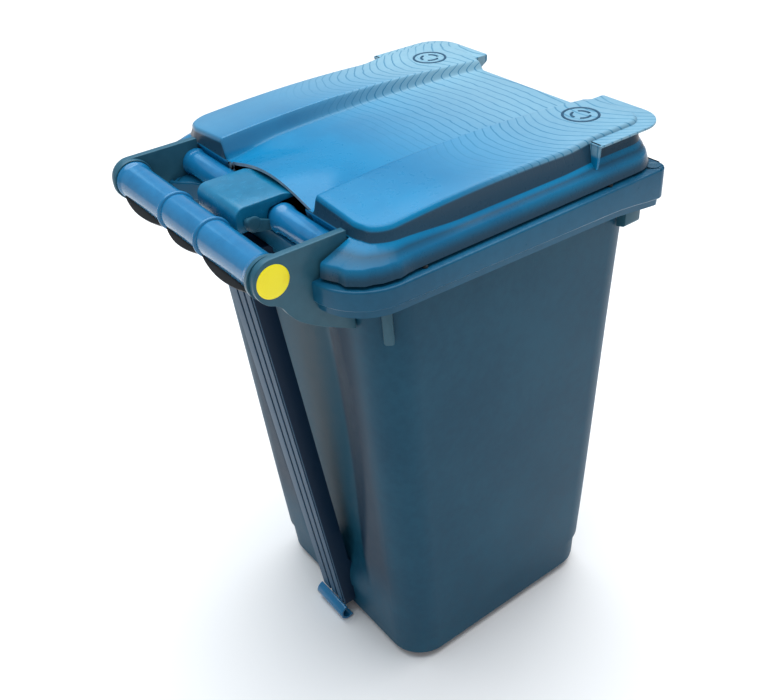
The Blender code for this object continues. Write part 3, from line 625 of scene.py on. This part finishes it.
# Rubber pads: four feet under the base and four buffers under the lid's lip.
pad_finish, shader, place, axes = finish_start("black pad rubber")
dust = place.noise(place, 120.0, 4.0, 0.6)
bump = place.node("ShaderNodeBump", {}, {"Distance": 0.0001, "Height": place.noise(place, 700.0, 3.0)})
black = dust.between(0.3, 0.8).tint((0.008, 0.008, 0.009), (0.035, 0.034, 0.032))
set_shader(shader, place, Base_Color=black, Roughness=0.6 + dust * 0.25, Normal=bump)
for n in range(1, 5):
    for node in ("base_foot_%d" % n, "lid_buffer_%d" % n):
        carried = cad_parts[node]
        carried.data.materials.clear()
        carried.data.materials.append(pad_finish)

# ---------------------------------------------------------------------------
# Lid. One glossy moulding: a sunk middle panel between two raised rails, a hood that
# rises to an arch over the hinge, upright walls, and a flange that shuts on the rim
# and reaches back outside the arms. Flow marks show across its front half.
# ---------------------------------------------------------------------------
LID_HALF = 174 * MM
LID_FRONT = -220 * MM
LID_REAR = 134 * MM
ARCH = 73 * MM


def rail_line(y):
    """Height of a rail's inner top edge."""
    return (657.2 - 0.00028 * (y / MM + 28) ** 2) * MM


def rail_height(x, y):
    across = max(0.0, (abs(x) / MM - 88) / 84)
    plain = rail_line(y) - 6.7 * MM * across
    pad = ease((-100 - y / MM) / 40) * ease((abs(x) / MM - 86) / 20)
    return mix(plain, 652.2 * MM, pad)


def panel_height(x, y):
    y = y / MM
    z = 642.5 - 0.00022 * (y + 70) ** 2 - 5 * ease((y - 70) / 60)
    wide = mix(34, 73, ease((y - 55) / 75))
    u = min(1.0, abs(x) / MM / wide)
    z += 12.3 * ease((y - 48) / 84) * (1 - u * u) ** 1.25
    return z * MM


def deck_height(x, y):
    t = ease((abs(x) / MM - 78) / 11.5) ** 1.25
    return mix(panel_height(x, y), rail_height(x, y), t)


def wall_foot(x, y):
    y = y / MM
    return (625 + 5.0 * ease((y - 30) / 85) + 2.5 * ease((-90 - y) / 60)) * MM


def flange_out(x, y, turn):
    return (11 + 0.27 * turn) * MM if turn > 0 else mix(10, 3.2, -turn / 90) * MM


bm = bmesh.new()
# A per-vertex weight for painted shade: the lid's upright walls and flange get a darker colour than its top.
upright = bm.verts.layers.float.new("upright")
inset = 5 * MM
outline(bm, both_sides([(LID_HALF - inset, LID_REAR - 3 * MM, 25 * MM),
                        (LID_HALF - inset, LID_FRONT + inset, 21 * MM)]), 640 * MM)
lines = [0, 8, 16, 24, 32, 40, 48, 56, 62, 68, 73, 76, 78, 79.5, 81, 82.3, 83.5, 84.7, 86, 87.2, 88.4,
         89.6, 92, 97, 104, 114, 126, 138, 145.5]
for x in sorted({s * x for x in lines for s in (-1, 1)}):
    bmesh.ops.bisect_plane(bm, geom=bm.faces[:] + bm.edges[:] + bm.verts[:], plane_co=(x * MM, 0, 0),
                           plane_no=(1, 0, 0), dist=1e-6)
for y in list(range(-190, 48, 10)) + list(range(48, 104, 5)) + [110, 117, 124]:
    bmesh.ops.bisect_plane(bm, geom=bm.faces[:] + bm.edges[:] + bm.verts[:], plane_co=(0, y * MM, 0),
                           plane_no=(0, 1, 0), dist=1e-6)
for v in bm.verts:
    v.co.z = deck_height(v.co.x, v.co.y)
foot = [e for e in rim_edges(bm) if not (min(v.co.y for v in e.verts) > LID_REAR - 3.1 * MM
                                         and max(abs(v.co.x) for v in e.verts) < ARCH + 1e-5)]
for out, drop in ((1.95, 0.4), (1.55, 1.1), (1.1, 1.55), (0.4, 1.95)):
    foot = step(bm, foot, lambda x, y, turn: out * (1 if turn < 60 else 0.6) * MM, -drop * MM)
for v in {v for e in foot for v in e.verts}:
    v[upright] = 0.6
foot = step(bm, foot, 0.3 * MM, -2 * MM)
for v in {v for e in foot for v in e.verts}:
    v[upright] = 1.0
foot = step(bm, foot, lambda x, y, turn: (3.2 if turn < 60 else 2.2) * MM,
            lambda x, y: wall_foot(x, y) + 1.5 * MM)
foot = step(bm, foot, 0.8 * MM, wall_foot)
for v in {v for e in foot for v in e.verts}:
    v[upright] = 0.2


def behind(e):
    return min(v.co.y for v in e.verts) > 130 * MM and max(abs(v.co.x) for v in e.verts) < 145.6 * MM


step(bm, [e for e in foot if behind(e)], -4.5 * MM, lambda x, y: 615 * MM)
flange = step(bm, [e for e in foot if not behind(e)], lambda x, y, turn: 0.5 * flange_out(x, y, turn),
              lambda x, y: 0.45 * wall_foot(x, y) + 0.55 * 619.5 * MM)
for v in {v for e in flange for v in e.verts}:
    v[upright] = 0.72
flange = step(bm, flange, lambda x, y, turn: 0.5 * flange_out(x, y, turn) - 1.2 * MM, lambda x, y: 618.8 * MM)
flange = step(bm, flange, 1.2 * MM, -1.0 * MM)
flange = step(bm, flange, 0.7 * MM, -1.8 * MM)
flange = step(bm, flange, lambda x, y, turn: (3.6 if turn < 60 else 1.6) * MM, lambda x, y: 604.4 * MM)
bmesh.ops.recalc_face_normals(bm, faces=bm.faces)
if sum(f.normal.z * f.calc_area() for f in bm.faces) < 0:
    bmesh.ops.reverse_faces(bm, faces=bm.faces)
for v in bm.verts:
    if v.co.z < 619.6 * MM:
        beside_arms = v.co.y > 140 * MM and abs(v.co.x) < 146 * MM
        v[upright] = 1.0 if v.co.z < 610 * MM or beside_arms else 0.55

lid_finish, shader, place, (x, y, z) = finish_start("lid plastic")
clouds = place.noise(place, 9.0, 4.0, 0.55)
fine = place.noise(place, 110.0, 3.0, 0.6)
sway = place.noise(place, 14.0, 2.0, 0.5)
jitter = place.noise(place, 70.0, 2.0, 0.5)
rails = abs(x).between(0.082, 0.09)
bow = (abs(x) - 0.120) * (abs(x) - 0.120) * 11.0
line_up = y - x * x * 1.2 * (1 - rails) + bow * rails + sway * 0.016 + jitter * 0.0035
count = line_up * 100.0 + line_up * line_up * 70.0
wave = count.sum("FRACT", count)
thin = 1 - abs(wave - 0.5).between(0.02, 0.12)
flat_top = z.between(0.633, 0.638)
marks = thin * (1 - y.between(-0.08, 0.06)) * flat_top * clouds.between(0.3, 0.5)
# Painted reflection: the lid's top is tinted paler and greyer towards the front and towards the far side.
painted_reflection = (1 - y.between(-0.2, 0.08)) * 0.8 + x.between(0.02, 0.16) * 0.3
painted_reflection = painted_reflection.sum("MINIMUM", painted_reflection, 1.0) * flat_top
base = clouds.between(0.3, 0.7).tint((0.0, 0.14, 0.29), (0.001, 0.185, 0.36))
base = (painted_reflection * (0.75 + fine * 0.3)).tint(base, (0.27, 0.41, 0.47))
base = (marks * 0.8).tint(base, (0.01, 0.15, 0.26))
# Painted shade: the weight tints the lid's walls and flange a dark grey-blue.
wall = place.node("ShaderNodeAttribute", {"attribute_name": "upright"}, {}, 2)
base = wall.between(0.3, 0.9).tint(base, (0.014, 0.05, 0.085))
drawn = place.noise(place.stretch(place, (300.0, 14.0, 300.0)), 1.0, 4.0, 0.65)
scuff = drawn.between(0.66, 0.8) * clouds.between(0.4, 0.65) * 0.03
base = scuff.tint(base, (0.30, 0.45, 0.55))
bump = place.node("ShaderNodeBump", {}, {"Distance": 0.0001, "Height": place.noise(place, 900.0, 2.0) * 0.35
                                         - marks * 0.8 + sway * 2.0})
rough = 0.24 + fine * 0.08 + painted_reflection * 0.12 + scuff * 0.2
set_shader(shader, place, Base_Color=base, Roughness=rough, Normal=bump)
shader.inputs["Specular IOR Level"].default_value = 0.2
shader.inputs["Coat Weight"].default_value = 0.08
shader.inputs["Coat Roughness"].default_value = 0.15
# Painted highlight: the lid's edge faces are coloured pale grey, as a light line along the lip.
lip_painted_highlight = moulded("lid edge painted highlight", (0.16, 0.26, 0.33), (0.45, 0.48, 0.5), 0.5, 0.0001)
piece("lid", bm, "lid", ["lid_pan", "lid_rail_near", "lid_rail_far", "lid_hood"],
      wall=3.6 * MM, sharp=32, finishes=[lid_finish, lip_painted_highlight])

# ---------------------------------------------------------------------------
# Grip wings. A thin plate round each front corner of the lid, just below the rail's
# edge, with a web behind it and a short web at its inner end.
# ---------------------------------------------------------------------------
WING_TOP = 648 * MM
for side, tag in ((-1, "near"), (1, "far")):
    bm = bmesh.new()
    wing = [(94.5, -238.6, 3), (188.6, -238.6, 35), (188.6, -134.2, 2), (168.5, -134.2, 0),
            (168.5, -213.5, 24), (94.5, -213.5, 0)]
    outline(bm, [(side * a * MM, b * MM, r * MM) for a, b, r in wing], WING_TOP)
    bmesh.ops.recalc_face_normals(bm, faces=bm.faces)
    if sum(f.normal.z for f in bm.faces) < 0:
        bmesh.ops.reverse_faces(bm, faces=bm.faces)
    piece("grip_wing_" + tag, bm, "lid", ["lid_wing_" + tag], wall=2.8 * MM, edge=0.8 * MM,
          rounds=3, finishes=[lid_finish])
    web = [(172, 648, 0), (187.4, 648, 0), (184, 617, 2), (176, 612, 0)]
    bm = plate([(side * a * MM, b * MM, r * MM) for a, b, r in web], "Y", -138 * MM, -134.4 * MM)
    piece("wing_rib_" + tag, bm, "lid", ["wing_web_" + tag], edge=0.6 * MM,
          finishes=[lid_finish])
    end = [(-238.2, 647, 0), (-238.2, 640, 2), (-219, 628, 0), (-219, 647, 0)]
    low, high = sorted((side * 94.8 * MM, side * 97.6 * MM))
    bm = plate([(a * MM, b * MM, r * MM) for a, b, r in end], "X", low, high)
    piece("wing_cheek_" + tag, bm, "lid", ["wing_end_" + tag], edge=0.5 * MM,
          finishes=[lid_finish])

# Generic ring emblem moulded on each front pad, with three short arcs inside.
emblem_finish = moulded("emblem plastic", (0.005, 0.05, 0.10), (0.008, 0.07, 0.13), 0.3)
for side, tag in ((-1, "near"), (1, "far")):
    bm = bmesh.new()
    height = deck_height(side * 125 * MM, -172 * MM)
    for radius, start, sweep in ((19, 0, 360), (10, 10, 80), (10, 130, 80), (10, 250, 80)):
        a = math.radians(start)
        upend = Matrix.Translation((radius * MM, 0, 0)) @ Matrix.Rotation(math.pi / 2, 4, "X")
        ring = bmesh.ops.create_circle(bm, cap_ends=False, segments=10, radius=1.5 * MM, matrix=upend)
        bmesh.ops.rotate(bm, verts=ring["verts"], cent=(0, 0, 0), matrix=Matrix.Rotation(a, 3, "Z"))
        edges = list({e for v in ring["verts"] for e in v.link_edges})
        geom = ring["verts"] + edges
        done = bmesh.ops.spin(bm, geom=geom, cent=(0, 0, 0), axis=(0, 0, 1), angle=math.radians(sweep),
                              steps=72 if sweep == 360 else 16, use_merge=sweep == 360)
        if sweep < 360:
            last = [g for g in done["geom_last"] if isinstance(g, bmesh.types.BMEdge)]
            bmesh.ops.contextual_create(bm, geom=edges)
            bmesh.ops.contextual_create(bm, geom=last)
    bmesh.ops.translate(bm, verts=bm.verts, vec=(side * 125 * MM, -172 * MM, 0))
    for v in bm.verts:
        v.co.z = v.co.z * 0.6 + deck_height(v.co.x, v.co.y)
    bmesh.ops.recalc_face_normals(bm, faces=bm.faces)
    piece("pad_emblem_" + tag, bm, "lid", finishes=[emblem_finish])

# ---------------------------------------------------------------------------
# Hinge yoke. The block that runs from under the arch, over the bead, to the pin.
# ---------------------------------------------------------------------------
yoke_finish = moulded("yoke plastic", (0.003, 0.12, 0.22), (0.008, 0.17, 0.30), 0.26, 0.00003, 0.2, 0.3)
bm = plate([(112 * MM, 632.6 * MM, 0), (112 * MM, 628 * MM, 0), (140 * MM, 627.5 * MM, 2 * MM),
            (156 * MM, 625 * MM, 3 * MM), (160.4 * MM, 611 * MM, 2 * MM), (164 * MM, 609 * MM, 0),
            (192.4 * MM, 609 * MM, 4 * MM), (192.4 * MM, 635.4 * MM, 11 * MM), (138 * MM, 635.4 * MM, 2 * MM),
            (130 * MM, 632.6 * MM, 0)], "X", -38 * MM, 38 * MM)
piece("yoke_block", bm, "lid", ["hinge_yoke"], edge=1.4 * MM, rounds=3, finishes=[yoke_finish])

# ---------------------------------------------------------------------------
# Studio: a pale floor, one large soft light above and behind, and a pale sky.
# ---------------------------------------------------------------------------
bm = bmesh.new()
bmesh.ops.create_grid(bm, x_segments=1, y_segments=1, size=6.0)
mesh = bpy.data.meshes.new("studio_floor")
bm.to_mesh(mesh)
bm.free()
floor = bpy.data.objects.new("studio_floor", mesh)
bpy.context.scene.collection.objects.link(floor)
floor_finish, shader, place, axes = finish_start("pale floor")
mottle = place.noise(place, 2.0, 3.0)
set_shader(shader, place, Base_Color=mottle.tint((0.97, 0.87, 0.83), (1.0, 0.90, 0.86)), Roughness=0.8)
mesh.materials.append(floor_finish)


def soft_light(name, place, aim, size, power, colour=(1, 1, 1)):
    data = bpy.data.lights.new(name, "AREA")
    data.shape = "RECTANGLE"
    data.size, data.size_y = size
    data.energy = power
    data.color = colour
    lamp = bpy.data.objects.new(name, data)
    lamp.location = place
    lamp.rotation_euler = (Vector(aim) - Vector(place)).to_track_quat("-Z", "Y").to_euler()
    bpy.context.scene.collection.objects.link(lamp)
    return lamp


soft_light("top_panel", (0.3, -0.2, 2.5), (0, 0, 0.5), (3.2, 3.2), 62, (0.38, 0.76, 1.0))
sun = bpy.data.lights.new("overhead", "SUN")
sun.energy = 2.2
sun.angle = math.radians(70)
sun.color = (1.0, 0.93, 0.86)
lamp = bpy.data.objects.new("overhead", sun)
lamp.rotation_euler = (math.radians(12), math.radians(10), 0)
bpy.context.scene.collection.objects.link(lamp)
world = bpy.data.worlds.new("studio")
world.use_nodes = True
world.node_tree.nodes["Background"].inputs[0].default_value = (0.87, 0.93, 1.0, 1)
world.node_tree.nodes["Background"].inputs[1].default_value = 0.5
bpy.context.scene.world = world
bpy.context.scene.view_settings.view_transform = "Standard"

azimuth, elevation, roll = math.radians(53.01), math.radians(35.03), math.radians(-2.67)
back = Vector((-math.sin(azimuth) * math.cos(elevation), math.cos(azimuth) * math.cos(elevation),
               math.sin(elevation)))
right = (-back).cross(Vector((0, 0, 1))).normalized()
up = right.cross(-back)
across = math.cos(roll) * right + math.sin(roll) * up
above = -math.sin(roll) * right + math.cos(roll) * up
data = bpy.data.cameras.new("view")
data.sensor_width = 36
data.lens = 45.744
data.shift_x = -0.0468
data.shift_y = -0.0025
camera = bpy.data.objects.new("view", data)
turned_to = Matrix((across, above, back)).transposed().to_4x4()
camera.matrix_world = Matrix.Translation((-0.7912, 0.5505, 1.0438)) @ turned_to
bpy.context.scene.collection.objects.link(camera)
bpy.context.scene.camera = camera
